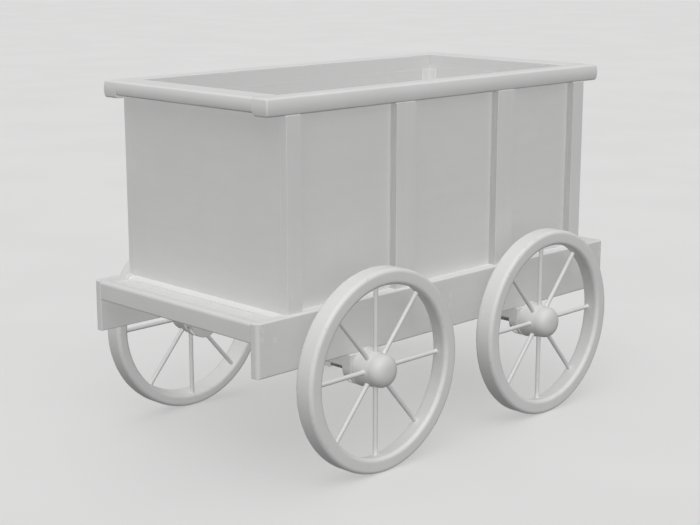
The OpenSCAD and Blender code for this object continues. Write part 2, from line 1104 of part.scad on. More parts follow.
// Domed cover over the axle nut, with a spigot that screws into the hub
module hub_cap(end, side) {
    ball_r = (hub_nose_r * hub_nose_r + hub_dome * hub_dome) / (2 * hub_dome);
    ball_mid = hub_dome - ball_r;
    color("#cacac8")
        at_wheel(end, side)
            translate([0, hub_outer_y, 0])
                point_out()
                    rotate_extrude() {
                        difference() {
                            intersection() {
                                translate([0, ball_mid])
                                    circle(ball_r);
                                square([hub_nose_r + 5, hub_dome + 5]);
                            }
                            intersection() {
                                translate([0, ball_mid])
                                    circle(ball_r - cap_wall);
                                translate([-1, cap_base_t])
                                    square([hub_nose_r + 5, hub_dome]);
                            }
                            square([hub_mouth_r - cap_spigot_t, cap_base_t + 1]);
                        }
                        translate([hub_mouth_r - cap_spigot_t, -cap_spigot_len])
                            square([cap_spigot_t - fit_gap, cap_spigot_len + cap_base_t]);
                    }
}

// ---------------------------------------------------------------- drawing

tub_floor();
side_panel(left);  // side_panel_left
side_panel(right);  // side_panel_right
end_panel(front);  // end_panel_front
end_panel(rear);  // end_panel_rear
posts(left);  // posts_left
posts(right);  // posts_right
side_rail(left);  // side_rail_left
side_rail(right);  // side_rail_right
end_rail(front);  // end_rail_front
end_rail(rear);  // end_rail_rear
end_cleats();
side_cleats();
corner_irons();
tub_screws();
sill(left);  // sill_left
sill(right);  // sill_right
end_beam(front);  // end_beam_front
end_beam(rear);  // end_beam_rear
deck_boards();
end_bearer(front);  // end_bearer_front
end_bearer(rear);  // end_bearer_rear
middle_bearer();
bolster(front);  // bolster_front
bolster(rear);  // bolster_rear
bolster_angles();
axle(front);  // axle_front
axle(rear);  // axle_rear
axle_clips();
axle_box(front, left);  // axle_box_fl
axle_box(front, right);  // axle_box_fr
axle_box(rear, left);  // axle_box_rl
axle_box(rear, right);  // axle_box_rr
chassis_screws();
countersunk_screws();
tub_bolts();
tub_bolt_nuts();
axle_washers();
axle_nuts();
axle_pins();
rim(front, left);  // rim_fl
spokes(front, left);  // spokes_fl
hub(front, left);  // hub_fl
bush(front, left);  // bush_fl
hub_cap(front, left);  // hub_cap_fl
rim(front, right);  // rim_fr
spokes(front, right);  // spokes_fr
hub(front, right);  // hub_fr
bush(front, right);  // bush_fr
hub_cap(front, right);  // hub_cap_fr
rim(rear, left);  // rim_rl
spokes(rear, left);  // spokes_rl
hub(rear, left);  // hub_rl
bush(rear, left);  // bush_rl
hub_cap(rear, left);  // hub_cap_rl
rim(rear, right);  // rim_rr
spokes(rear, right);  // spokes_rr
hub(rear, right);  // hub_rr
bush(rear, right);  // bush_rr
hub_cap(rear, right);  // hub_cap_rr
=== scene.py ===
"""Looks of the mine cart: a timber tub and chassis on spoked iron wheels, all in
matt pale grey paint, on a pale studio floor. Metres, in the frame of the model:
+X along the cart, +Y across it, +Z up, the origin on the ground below its middle."""

import math

import bmesh
import bpy
from mathutils import Matrix, Vector, noise


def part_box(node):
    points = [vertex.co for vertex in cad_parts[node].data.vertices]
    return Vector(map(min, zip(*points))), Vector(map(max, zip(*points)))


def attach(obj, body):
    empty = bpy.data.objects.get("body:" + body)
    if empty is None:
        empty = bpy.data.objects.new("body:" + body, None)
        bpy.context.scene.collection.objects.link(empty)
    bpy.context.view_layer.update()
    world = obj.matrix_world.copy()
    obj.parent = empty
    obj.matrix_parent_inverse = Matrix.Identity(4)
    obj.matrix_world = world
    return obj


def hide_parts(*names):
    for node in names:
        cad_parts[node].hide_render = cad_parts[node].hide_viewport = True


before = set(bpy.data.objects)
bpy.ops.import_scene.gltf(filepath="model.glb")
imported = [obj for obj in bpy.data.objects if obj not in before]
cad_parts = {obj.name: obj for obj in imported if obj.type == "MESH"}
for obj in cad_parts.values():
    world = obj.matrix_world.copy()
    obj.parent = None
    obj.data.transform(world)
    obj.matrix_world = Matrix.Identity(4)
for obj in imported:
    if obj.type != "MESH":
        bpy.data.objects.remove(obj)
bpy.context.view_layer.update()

MM = 0.001
CART = "cart"
WHEELS = ("fl", "fr", "rl", "rr")
AXES = {"x": 0, "y": 1, "z": 2}

# ------------------------------------------------------------------ camera

CAMERA_AZIMUTH = math.radians(-44.96)
CAMERA_ELEVATION = math.radians(12.74)
CAMERA_DISTANCE = 4.332
CAMERA_TARGET = Vector((0.231, 0.284, 0.326))
CAMERA_LENS_MM = 75.2


def make_camera():
    a, e = CAMERA_AZIMUTH, CAMERA_ELEVATION
    back = Vector((math.sin(a) * math.cos(e), -math.cos(a) * math.cos(e), math.sin(e)))
    data = bpy.data.cameras.new("camera")
    data.sensor_width = 36
    data.lens = CAMERA_LENS_MM
    data.clip_start, data.clip_end = 0.05, 200
    camera = bpy.data.objects.new("camera", data)
    bpy.context.scene.collection.objects.link(camera)
    camera.location = CAMERA_TARGET + back * CAMERA_DISTANCE
    camera.rotation_mode = "QUATERNION"
    camera.rotation_quaternion = (-back).to_track_quat("-Z", "Y")
    bpy.context.scene.camera = camera


# --------------------------------------------------------------- materials


class Nodes:
    """A small builder for one material's node tree."""

    def __init__(self, name):
        self.material = bpy.data.materials.new(name)
        self.material.use_nodes = True
        self.tree = self.material.node_tree
        self.shader = self.tree.nodes["Principled BSDF"]
        self.place = self.add("ShaderNodeTexCoord").outputs["Object"]

    def add(self, kind, inputs=None, **settings):
        node = self.tree.nodes.new(kind)
        for key, value in settings.items():
            setattr(node, key, value)
        for key, value in (inputs or {}).items():
            self.put(value, node.inputs[key])
        return node

    def put(self, value, socket):
        if isinstance(value, bpy.types.NodeSocket):
            self.tree.links.new(value, socket)
        else:
            socket.default_value = value

    def noise(self, scale, detail=3.0, roughness=0.55, stretch=(1, 1, 1), shift=0.0):
        mapped = self.add("ShaderNodeMapping", {
            "Vector": self.place, "Scale": stretch, "Location": (shift, shift, shift)})
        node = self.add("ShaderNodeTexNoise", {
            "Vector": mapped.outputs[0], "Scale": scale, "Detail": detail, "Roughness": roughness})
        return node.outputs["Fac"]

    def span(self, value, low, high, to_low=0.0, to_high=1.0):
        node = self.add("ShaderNodeMapRange", {
            "Value": value, "From Min": low, "From Max": high, "To Min": to_low, "To Max": to_high},
            interpolation_type="SMOOTHSTEP")
        return node.outputs["Result"]

    def times(self, a, b):
        return self.add("ShaderNodeMath", {0: a, 1: b}, operation="MULTIPLY").outputs[0]

    def mix(self, amount, a, b):
        node = self.add("ShaderNodeMix", data_type="RGBA")
        for value, socket in ((amount, node.inputs[0]), (a, node.inputs[6]), (b, node.inputs[7])):
            self.put(value, socket)
        return node.outputs[2]

    def attribute(self, name, of_object=False):
        kind = "OBJECT" if of_object else "GEOMETRY"
        node = self.add("ShaderNodeAttribute", attribute_name=name, attribute_type=kind)
        return node.outputs["Fac"]

    def hollow(self, distance):
        """1 in the open, towards 0 in creases and corners."""
        node = self.add("ShaderNodeAmbientOcclusion", {"Distance": distance}, samples=6)
        return node.outputs["AO"]

    def bump(self, layers, distance):
        """Stacks (height, strength) layers on one another as bump."""
        normal = None
        for height, strength in layers:
            node = self.add("ShaderNodeBump", {
                "Height": height, "Strength": strength, "Distance": distance})
            if normal is not None:
                self.put(normal, node.inputs["Normal"])
            normal = node.outputs["Normal"]
        self.put(normal, self.shader.inputs["Normal"])


PAINT_LIGHT = (0.665, 0.665, 0.662, 1)
PAINT_DARK = (0.525, 0.525, 0.521, 1)
PAINT_INSIDE_LIT = (0.620, 0.620, 0.618, 1)
FLANK_SHADE = (0.430, 0.428, 0.422, 1)
UNDERCOAT = (0.40, 0.395, 0.38, 1)
PAINT_CREASE_LIGHT = (0.720, 0.720, 0.716, 1)
STEEL = (0.34, 0.335, 0.33, 1)
STEEL_DARK = (0.16, 0.155, 0.15, 1)
BRONZE = (0.42, 0.29, 0.13, 1)
FLOOR_DARK = (0.63, 0.63, 0.627, 1)
FLOOR_LIGHT = (0.65, 0.65, 0.647, 1)


def paint_colour(n, wear, crease):
    """Grey paint: piece to piece and broad tone changes, painted light that lightens creases against
    their shade, rubbed arrises.
    """
    colour = n.mix(n.attribute("tone", of_object=True), PAINT_DARK, PAINT_LIGHT)
    broad = n.span(n.noise(2.6, detail=5.0, roughness=0.6), 0.35, 0.68)
    colour = n.mix(n.times(broad, 0.16), colour, PAINT_DARK)
    cloud = n.span(n.noise(9.0, detail=4.0, shift=3.0), 0.42, 0.75)
    colour = n.mix(n.times(cloud, 0.16), colour, PAINT_LIGHT)
    # Painted light: creases that ambient occlusion finds are mixed towards a lighter grey, to cancel
    # their shade.
    crease_light = n.times(n.span(n.hollow(crease), 0.90, 0.30), 0.60)
    colour = n.mix(crease_light, colour, PAINT_CREASE_LIGHT)
    return n.mix(wear, colour, UNDERCOAT)


def painted_timber(axis):
    """Planed timber under matt paint, its grain along one axis."""
    n = Nodes("painted_timber_" + axis)
    along = AXES[axis]
    grain_stretch = tuple(0.10 if i == along else 1.0 for i in range(3))
    brush_stretch = tuple(0.05 if i == along else 1.0 for i in range(3))
    grain = n.noise(46.0, detail=6.0, roughness=0.62, stretch=grain_stretch)
    brush = n.noise(230.0, detail=2.0, roughness=0.5, stretch=brush_stretch)
    tooth = n.noise(900.0, detail=1.0)
    chips = n.span(n.noise(75.0, detail=5.0, roughness=0.7, shift=7.0), 0.60, 0.72)
    wear = n.times(n.times(n.attribute("arris"), chips), 0.45)
    colour = paint_colour(n, wear, 0.05)
    streak = n.times(n.span(grain, 0.40, 0.62), 0.10)
    colour = n.mix(streak, colour, PAINT_DARK)
    # Painted light: the faces that look into the tub are a shade lighter.
    colour = n.mix(n.attribute("inner_face"), colour, PAINT_INSIDE_LIT)
    # Painted shade: the flanks of posts, in the corner beside a side panel, are mixed towards a
    # darker grey.
    flank_shade = n.times(n.attribute("flank"), n.span(brush, 0.2, 0.8, 0.75, 1.0))
    n.put(n.mix(flank_shade, colour, FLANK_SHADE), n.shader.inputs["Base Color"])
    n.put(n.span(brush, 0.3, 0.7, 0.58, 0.74), n.shader.inputs["Roughness"])
    n.shader.inputs["Specular IOR Level"].default_value = 0.35
    n.bump([(grain, 0.16), (brush, 0.09), (tooth, 0.04)], 0.0012)
    return n.material


def painted_iron():
    """Cast and forged iron under the same paint: smoother, with a faint cast skin."""
    n = Nodes("painted_iron")
    skin = n.noise(160.0, detail=4.0, roughness=0.6)
    runs = n.noise(24.0, detail=3.0, shift=2.0)
    scuffs = n.span(n.noise(55.0, detail=6.0, roughness=0.72, shift=5.0), 0.55, 0.72)
    wear = n.times(n.times(n.attribute("arris"), scuffs), 0.55)
    n.put(paint_colour(n, wear, 0.03), n.shader.inputs["Base Color"])
    n.put(n.span(runs, 0.3, 0.7, 0.50, 0.66), n.shader.inputs["Roughness"])
    n.shader.inputs["Specular IOR Level"].default_value = 0.42
    n.bump([(runs, 0.10), (skin, 0.16)], 0.0010)
    return n.material


def bare_metal(name, light, dark, rough):
    """Turned metal with an oily, slightly stained surface."""
    n = Nodes(name)
    stain = n.span(n.noise(38.0, detail=5.0, roughness=0.65), 0.35, 0.7)
    marks = n.noise(600.0, detail=2.0, stretch=(1, 0.2, 1))
    n.put(n.mix(stain, light, dark), n.shader.inputs["Base Color"])
    n.put(n.span(stain, 0, 1, rough, rough + 0.22), n.shader.inputs["Roughness"])
    n.shader.inputs["Metallic"].default_value = 0.9
    n.bump([(marks, 0.15)], 0.0004)
    return n.material


def studio_floor():
    n = Nodes("studio_floor")
    soft = n.span(n.noise(1.2, detail=2.0), 0.3, 0.7)
    n.put(n.mix(soft, FLOOR_DARK, FLOOR_LIGHT), n.shader.inputs["Base Color"])
    n.shader.inputs["Roughness"].default_value = 0.9
    return n.material


TIMBER = {axis: painted_timber(axis) for axis in AXES}
IRON = painted_iron()
BARE = bare_metal("bare_steel", STEEL, STEEL_DARK, 0.38)
BUSH = bare_metal("bronze", BRONZE, STEEL_DARK, 0.34)


# ------------------------------------------------------------ mesh helpers


def solids(node):
    """Low and high corners of each separate solid of a CAD node, in a steady order."""
    bm = bmesh.new()
    bm.from_mesh(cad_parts[node].data)
    bmesh.ops.remove_doubles(bm, verts=bm.verts, dist=1e-6)
    seen, found = set(), []
    for start in bm.verts:
        if start in seen:
            continue
        group, stack = [], [start]
        seen.add(start)
        while stack:
            v = stack.pop()
            group.append(v.co.copy())
            for edge in v.link_edges:
                other = edge.other_vert(v)
                if other not in seen:
                    seen.add(other)
                    stack.append(other)
        low = Vector(tuple(min(p[i] for p in group) for i in range(3)))
        high = Vector(tuple(max(p[i] for p in group) for i in range(3)))
        found.append((low, high))
    bm.free()
    return sorted(found, key=lambda b: tuple(round(c, 4) for c in b[0]))


SHARP_ANGLE = math.radians(40)


def enclosed(faces):
    """Six times the volume that closed faces hold, less than zero when they face inwards."""
    total = 0.0
    for face in faces:
        first = face.verts[0].co
        for a, b in zip(face.verts[1:], face.verts[2:]):
            total += first.dot(a.co.cross(b.co))
    return total


def face_outwards(bm):
    """Turns the faces of each separate solid outwards. Blender's own rule, which comes first,
    makes the faces of a solid agree, but turns some long solids inside out."""
    bmesh.ops.recalc_face_normals(bm, faces=bm.faces)
    seen = set()
    for start in bm.faces:
        if start in seen:
            continue
        seen.add(start)
        solid = [start]
        for face in solid:
            for edge in face.edges:
                for other in edge.link_faces:
                    if other not in seen:
                        seen.add(other)
                        solid.append(other)
        if enclosed(solid) < 0:
            bmesh.ops.reverse_faces(bm, faces=solid)


def piece(name, bm, body, material, replaces=(), tone=0.5):
    """Makes a finished piece from a bmesh that is already in place."""
    face_outwards(bm)
    for edge in bm.edges:
        edge.smooth = edge.calc_face_angle(0.0) < SHARP_ANGLE
    mesh = bpy.data.meshes.new(name)
    bm.to_mesh(mesh)
    bm.free()
    mesh.polygons.foreach_set("use_smooth", [True] * len(mesh.polygons))
    mesh.materials.append(material)
    obj = bpy.data.objects.new(name, mesh)
    bpy.context.scene.collection.objects.link(obj)
    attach(obj, body)
    if replaces:
        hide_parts(*replaces)
    obj["tone"] = tone
    normals = obj.modifiers.new("flat faces", "WEIGHTED_NORMAL")
    normals.keep_sharp = True
    return obj


ARC_STEPS = 6
END_STEPS = 6
FLAT_STEPS = 3
LEAST_ROUND = 0.0002
STATION_PITCH = 0.024
SWELL_REACH = 0.030


def section_ring(w, h, radii, insets, steps):
    """Points (u, v, arris) round a w by h rectangle with its own radius at each corner. Its
    low u, high u, low v and high v sides are drawn in by insets, and steps are how many
    parts its flats are cut into."""
    u_low, u_high, v_low, v_high = insets
    corners = (
        (u_low, v_low, 1, 1, math.pi, max(u_low, v_low)),
        (w - u_high, v_low, -1, 1, 1.5 * math.pi, max(u_high, v_low)),
        (w - u_high, h - v_high, -1, -1, 0.0, max(u_high, v_high)),
        (u_low, h - v_high, 1, -1, 0.5 * math.pi, max(u_low, v_high)),
    )
    arcs = []
    for (u, v, su, sv, start, inset), radius in zip(corners, radii):
        r = max(radius - inset, LEAST_ROUND)
        arc = []
        for i in range(ARC_STEPS + 1):
            angle = start + 0.5 * math.pi * i / ARC_STEPS
            point = (u + su * r + r * math.cos(angle), v + sv * r + r * math.sin(angle))
            arc.append((*point, math.sin(math.pi * i / ARC_STEPS)))
        arcs.append(arc)
    ring = []
    for n, arc in enumerate(arcs):
        ring += arc
        a, b = arc[-1], arcs[(n + 1) % 4][0]
        parts = steps[n % 2]
        ring += [
            (a[0] + (b[0] - a[0]) * i / parts, a[1] + (b[1] - a[1]) * i / parts, 0.0)
            for i in range(1, parts)
        ]
    return ring


def quarter_round(radius, distance):
    """How far a surface rounded by radius lies below its flat, at a distance from its edge."""
    if distance >= radius:
        return 0.0
    return radius - math.sqrt(radius * radius - (radius - distance) ** 2)


def bar(bm, low, high, axis, radii, end_rounds, section_pitch=STATION_PITCH):
    """A straight timber that fills the box, rounded along its four long arrises by radii
    (low-low, high-low, high-high, low-high in its two cross axes) and over both ends by
    end_rounds (low and high side of its first cross axis, then of its second)."""
    along = AXES[axis]
    cross = [i for i in range(3) if i != along]
    w, h = high[cross[0]] - low[cross[0]], high[cross[1]] - low[cross[1]]
    length = high[along] - low[along]
    steps = (max(1, round(w / section_pitch)), max(1, round(h / section_pitch)))
    reach = max(end_rounds)
    curve = [reach * (1 - math.cos(0.5 * math.pi * i / END_STEPS)) for i in range(END_STEPS + 1)]
    count = max(1, round((length - 2 * reach) / STATION_PITCH))
    middle = [reach + (length - 2 * reach) * i / count for i in range(1, count)]
    stations = curve + middle + [length - t for t in reversed(curve)]
    layer = bm.verts.layers.float.get("arris") or bm.verts.layers.float.new("arris")
    rings = []
    for t in stations:
        distance = min(t, length - t)
        insets = [quarter_round(r, distance) for r in end_rounds]
        at_end = 0.6 + 0.4 * (1 - distance / reach) if distance < reach else 0.0
        ring = []
        for u, v, arris in section_ring(w, h, radii, insets, steps):
            place = Vector((0, 0, 0))
            place[along] = low[along] + t
            place[cross[0]] = low[cross[0]] + u
            place[cross[1]] = low[cross[1]] + v
            vert = bm.verts.new(place)
            vert[layer] = max(arris, at_end)
            ring.append(vert)
        rings.append(ring)
    for a, b in zip(rings, rings[1:]):
        for i in range(len(a)):
            j = (i + 1) % len(a)
            bm.faces.new((a[i], a[j], b[j], b[i]))
    cap(bm, rings[0], steps)
    cap(bm, rings[-1], steps)


def cap(bm, ring, steps):
    """Closes the end of a bar with level strips, which can follow a swelled end."""
    corner = ARC_STEPS + 1
    side = 2 * corner + steps[1] - 1
    right_start = corner + steps[0] - 1
    top_start = right_start + side
    left_start = top_start + steps[0] - 1
    bottom = ring[corner:right_start]
    right = ring[right_start:top_start]
    top = ring[top_start:left_start]
    left = (ring[left_start:] + ring[:corner])[::-1]
    for k in range(side - 1):
        above = top if k == side - 2 else []
        below = bottom if k == 0 else []
        bm.faces.new([right[k], right[k + 1]] + above + [left[k + 1], left[k]] + below)


def swell_faces(bm, low, high, faces, amount):
    """Draws in the tops and bottoms of the given upright faces, each (cross axis, sign), so
    that they swell out by amount halfway up."""
    middle = (low.z + high.z) / 2
    half = (high.z - low.z) / 2
    for v in bm.verts:
        off_middle = min(1.0, abs(v.co.z - middle) / half)
        for along, sign in faces:
            face = high[along] if sign > 0 else low[along]
            nearness = max(0.0, 1.0 - abs(face - v.co[along]) / SWELL_REACH)
            v.co[along] -= sign * amount * off_middle ** 2 * nearness


def slope_top(bm, low, high, wall_side, edge):
    """Planes the top of a strip down from its full height at the wall to edge at its outer
    side; wall_side is -1 when the wall is on its low side along X."""
    width, height = high.x - low.x, high.z - low.z
    for v in bm.verts:
        away = v.co.x - low.x if wall_side < 0 else high.x - v.co.x
        share = 1.0 - (1.0 - edge / height) * away / width
        v.co.z = low.z + (v.co.z - low.z) * share


def weather(bm, swell=0.0003, nicks=0.0009, salt=0.0):
    """Takes the machine-made straightness off: faint swells, and rubbed, nicked arrises."""
    bmesh.ops.recalc_face_normals(bm, faces=bm.faces)
    bm.normal_update()
    layer = bm.verts.layers.float["arris"]
    shift = Vector((salt, salt * 0.7, -salt))
    moves = []
    for v in bm.verts:
        p = v.co + shift
        push = swell * (noise.noise(p * 4.0) - 0.5)
        rub = 0.5 * noise.noise(p * 14.0) + 0.5 * noise.noise(p * 47.0)
        push -= nicks * v[layer] * max(0.0, rub + 0.25)
        moves.append((v, v.normal * push))
    for v, move in moves:
        v.co += move


def lathe(bm, profile, centre, direction, segments, closed=True, arris=None):
    """Turns a profile of (station, radius) points about an axis through centre."""
    layer = bm.verts.layers.float.get("arris") or bm.verts.layers.float.new("arris")
    axis = direction.normalized()
    side = axis.orthogonal().normalized()
    other = axis.cross(side)
    rings = []
    for n, (station, radius) in enumerate(profile):
        ring = []
        for i in range(segments):
            angle = 2 * math.pi * i / segments
            spoke = side * math.cos(angle) + other * math.sin(angle)
            vert = bm.verts.new(centre + axis * station + spoke * radius)
            vert[layer] = arris[n] if arris else 0.0
            ring.append(vert)
        rings.append(ring)
    pairs = list(zip(rings, rings[1:]))
    if closed:
        pairs.append((rings[-1], rings[0]))
    for a, b in pairs:
        for i in range(segments):
            j = (i + 1) % segments
            bm.faces.new((a[i], a[j], b[j], b[i]))
    if not closed:
        bm.faces.new(rings[0])
        bm.faces.new(rings[-1])


def cut(obj, cutter_bm):
    """Cuts the cutter's solids out of a piece, for good, and stops the script when Blender
    gives back a piece that is inside out or no smaller."""
    mesh = bpy.data.meshes.new("cutter")
    face_outwards(cutter_bm)
    cutter_bm.to_mesh(mesh)
    cutter_bm.free()
    cutter = bpy.data.objects.new("cutter", mesh)
    bpy.context.scene.collection.objects.link(cutter)
    boolean = obj.modifiers.new("cut", "BOOLEAN")
    boolean.operation = "DIFFERENCE"
    boolean.solver = "EXACT"
    boolean.object = cutter
    obj.modifiers.move(len(obj.modifiers) - 1, 0)
    weighted = obj.modifiers["flat faces"]
    weighted.show_viewport = False
    graph = bpy.context.evaluated_depsgraph_get()
    done = bpy.data.meshes.new_from_object(obj.evaluated_get(graph), depsgraph=graph)
    obj.modifiers.remove(boolean)
    weighted.show_viewport = True
    old = obj.data
    before, after = bmesh.new(), bmesh.new()
    before.from_mesh(old)
    after.from_mesh(done)
    if not 0 < enclosed(after.faces) < enclosed(before.faces):
        raise RuntimeError("the cut of " + obj.name + " failed")
    before.free()
    after.free()
    obj.data = done
    done.name = obj.name
    bpy.data.meshes.remove(old)
    bpy.data.objects.remove(cutter)
    bpy.data.meshes.remove(mesh)


# ----------------------------------------------------------- painted timber

SOFT = 0.0040
SMALL = 0.0022
POST_ROUND = 0.0010
BUTT = 0.00015
RAIL_ROUND = 0.0045
# As in the CAD. At 6 and 9 mm the cut of the left side rail's screw seats fails.
RAIL_CORNER = 0.0040
RAIL_SWELL = 0.0034
RAIL_PITCH = 0.006
BEAM_ROUND = 0.0095
SILL_END = 0.0100
CLEAT_EDGE = 0.0015

PLAIN_TONE = 0.5
RAIL_TONE = 0.55
SILL_TONE = 0.35
BEAM_TONE = 0.2
WHEEL_TONE = 0.45
HUB_TONE = 0.15


def timber(name, node, box, axis, radii, tone, ends=(BUTT,) * 4, salt=0.0, shape=None,
           section_pitch=STATION_PITCH):
    """A painted timber of the cart in place of one solid of a node."""
    bm = bmesh.new()
    bar(bm, box[0], box[1], axis, radii, ends, section_pitch=section_pitch)
    if shape:
        shape(bm, box[0], box[1])
    weather(bm, salt=salt)
    return piece(name, bm, CART, TIMBER[axis], (node,), tone)


def outer(side_sign, radii):
    """Radii drawn for a part on the +Y or +X side, swapped over for the other side."""
    ll, hl, hh, lh = radii
    return radii if side_sign > 0 else (hl, ll, lh, hh)


def outer_ends(side_sign, ends):
    """End rounding drawn for a part on the +Y or +X side, swapped over for the other side."""
    inner, out, below, above = ends
    return ends if side_sign > 0 else (out, inner, below, above)


def mark_faces(bm, name, along, sign, amount=1.0):
    """Gives the faces that look towards sign along an axis a value of the named attribute."""
    layer = bm.faces.layers.float.get(name) or bm.faces.layers.float.new(name)
    for face in bm.faces:
        if face.normal[along] * sign > 0.8:
            face[layer] = amount


def inner_face(along, sign):
    """Marks the face of a panel that looks into the tub, towards sign along an axis, where painted
    light makes it a shade lighter.
    """
    def shape(bm, low, high):
        bmesh.ops.recalc_face_normals(bm, faces=bm.faces)
        mark_faces(bm, "inner_face", along, sign)
    return shape


def post_flanks(n, last):
    """Marks the flanks of a post that stand in the corner between it and a side panel, which get
    painted shade.
    """
    def shape(bm, low, high):
        bmesh.ops.recalc_face_normals(bm, faces=bm.faces)
        if n > 0:
            mark_faces(bm, "flank", 0, -1)
        if n < last:
            mark_faces(bm, "flank", 0, 1)
    return shape


def make_panels():
    for side, sign in (("left", -1), ("right", 1)):
        node = "side_panel_" + side
        timber(node + "_boards", node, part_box(node), "x", (BUTT,) * 4, PLAIN_TONE, salt=3.1 + sign,
               shape=inner_face(1, -sign))
    for end, sign in (("front", -1), ("rear", 1)):
        node = "end_panel_" + end
        timber(node + "_boards", node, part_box(node), "y", (BUTT,) * 4, PLAIN_TONE, salt=5.3 + sign,
               shape=inner_face(0, -sign))


def make_posts():
    for side, sign in (("left", -1), ("right", 1)):
        node = "posts_" + side
        wall, face = (BUTT,) * 2, (POST_ROUND,) * 2
        radii = wall + face if sign > 0 else face + wall
        boxes = solids(node)
        for n, box in enumerate(boxes):
            timber(f"post_{side}_{n + 1}", node, box, "z", radii, PLAIN_TONE, salt=0.9 * n + sign,
                   shape=post_flanks(n, len(boxes) - 1))


def swelled(faces, inner):
    """Shaping of a rail whose given faces, each (cross axis, sign), swell out, and whose
    inner face is part of the inside of the tub."""
    def shape(bm, low, high):
        swell_faces(bm, low, high, faces, RAIL_SWELL)
        inner_face(*inner)(bm, low, high)
    return shape


def make_rails():
    for side, sign in (("left", -1), ("right", 1)):
        node = "side_rail_" + side
        radii = outer(sign, (BUTT, RAIL_ROUND, RAIL_ROUND, SMALL))
        ends = outer_ends(sign, (BUTT, RAIL_CORNER, RAIL_ROUND, RAIL_ROUND))
        faces = ((1, sign), (0, -1), (0, 1))
        rail = timber(node + "_timber", node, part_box(node), "x", radii, RAIL_TONE, ends, 2.2 + sign,
                      swelled(faces, (1, -sign)), RAIL_PITCH)
        cut(rail, recesses(node))
    for end, sign in (("front", -1), ("rear", 1)):
        node = "end_rail_" + end
        radii = outer(sign, (BUTT, RAIL_ROUND, RAIL_ROUND, SMALL))
        rail = timber(node + "_timber", node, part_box(node), "y", radii, RAIL_TONE, salt=6.0 + sign,
                      shape=swelled(((0, sign),), (0, -sign)), section_pitch=RAIL_PITCH)
        cut(rail, recesses(node))


def make_cleats():
    for n, box in enumerate(solids("end_cleats")):
        sign = 1 if box[0].x > 0 else -1
        timber(f"end_cleat_{n + 1}", "end_cleats", box, "y", (BUTT,) * 4, PLAIN_TONE, salt=8.0 + n,
               shape=lambda bm, low, high: slope_top(bm, low, high, -sign, CLEAT_EDGE))
    for n, box in enumerate(solids("side_cleats")):
        timber(f"side_cleat_{n + 1}", "side_cleats", box, "x", (BUTT,) * 4, PLAIN_TONE,
               salt=9.0 + n)


def make_chassis():
    for side, sign in (("left", -1), ("right", 1)):
        node = "sill_" + side
        radii = outer(sign, (SMALL, SOFT, SOFT, BUTT))
        ends = outer_ends(sign, (SMALL, SILL_END, SMALL, SOFT))
        sill = timber(node + "_timber", node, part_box(node), "x", radii, SILL_TONE, ends, 1.4 + sign)
        cut(sill, recesses(node))
    for end, sign in (("front", -1), ("rear", 1)):
        node = "end_beam_" + end
        radii = outer(sign, (SMALL, SOFT, BEAM_ROUND, BEAM_ROUND))
        timber(node + "_timber", node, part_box(node), "y", radii, BEAM_TONE, salt=4.4 + sign)


# --------------------------------------------------------------- fasteners

SCREW_HEAD_R = 6.5 * MM
SCREW_SHANK_R = 3.0 * MM
SCREW_HEAD_H = 3.5 * MM
RECESS_DEPTH = 0.3 * MM
CUTTER_ABOVE = 0.004
SEAT_TOLERANCE = 0.001
SLOT_DEPTH = 0.0012
SLOT_CUTTER_ABOVE = 0.001
SLOT_HALF_WIDTH = 0.0006
SLOT_TURN = 1.7


def screw_axis(box):
    """(place of the head's middle, direction out of the head) of a countersunk screw."""
    low, high = box
    size = high - low
    middle = (low + high) / 2
    if size.z > size.y:
        return Vector((middle.x, middle.y, high.z)), Vector((0, 0, 1))
    sign = 1 if middle.y > 0 else -1
    return Vector((middle.x, high.y if sign > 0 else low.y, middle.z)), Vector((0, sign, 0))


def recesses(node):
    """Shallow round seats for the countersunk screws whose heads lie in a node's faces."""
    low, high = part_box(node)
    bm = bmesh.new()
    for box in solids("countersunk_screws"):
        head, out = screw_axis(box)
        inside = all(
            low[i] - SEAT_TOLERANCE <= head[i] <= high[i] + SEAT_TOLERANCE for i in range(3))
        if inside:
            profile = [(-RECESS_DEPTH, SCREW_HEAD_R * 1.03), (CUTTER_ABOVE, SCREW_HEAD_R * 1.09)]
            lathe(bm, profile, head, out, 40, closed=False)
    return bm


def make_sunk_screws():
    """Countersunk wood screws with one straight slot, painted over."""
    bm = bmesh.new()
    slots = bmesh.new()
    for n, box in enumerate(solids("countersunk_screws")):
        head, out = screw_axis(box)
        length = max(box[1] - box[0])
        profile = [
            (-length, SCREW_SHANK_R * 0.4), (-length + 0.006, SCREW_SHANK_R),
            (-SCREW_HEAD_H, SCREW_SHANK_R), (-0.0004, SCREW_HEAD_R - 0.0002),
            (-0.0001, SCREW_HEAD_R - 0.0004), (0.0, SCREW_HEAD_R - 0.0010),
        ]
        lathe(bm, profile, head, out, 32, closed=False)
        turn = Matrix.Rotation(SLOT_TURN * n, 4, out)
        across = turn @ out.orthogonal().normalized()
        width = out.cross(across)
        corners = []
        for depth in (-SLOT_DEPTH, SLOT_CUTTER_ABOVE):
            for a, b in ((-1, -1), (1, -1), (1, 1), (-1, 1)):
                offset = across * a * SCREW_HEAD_R * 1.2 + width * b * SLOT_HALF_WIDTH
                corners.append(slots.verts.new(head + offset + out * depth))
        ends = ((0, 1, 2, 3), (4, 5, 6, 7))
        sides = tuple((i, (i + 1) % 4, (i + 1) % 4 + 4, i + 4) for i in range(4))
        for face in ends + sides:
            slots.faces.new([corners[i] for i in face])
    obj = piece("wood_screws", bm, CART, IRON, ("countersunk_screws",),
                PLAIN_TONE)
    cut(obj, slots)


# ------------------------------------------------------------------ wheels

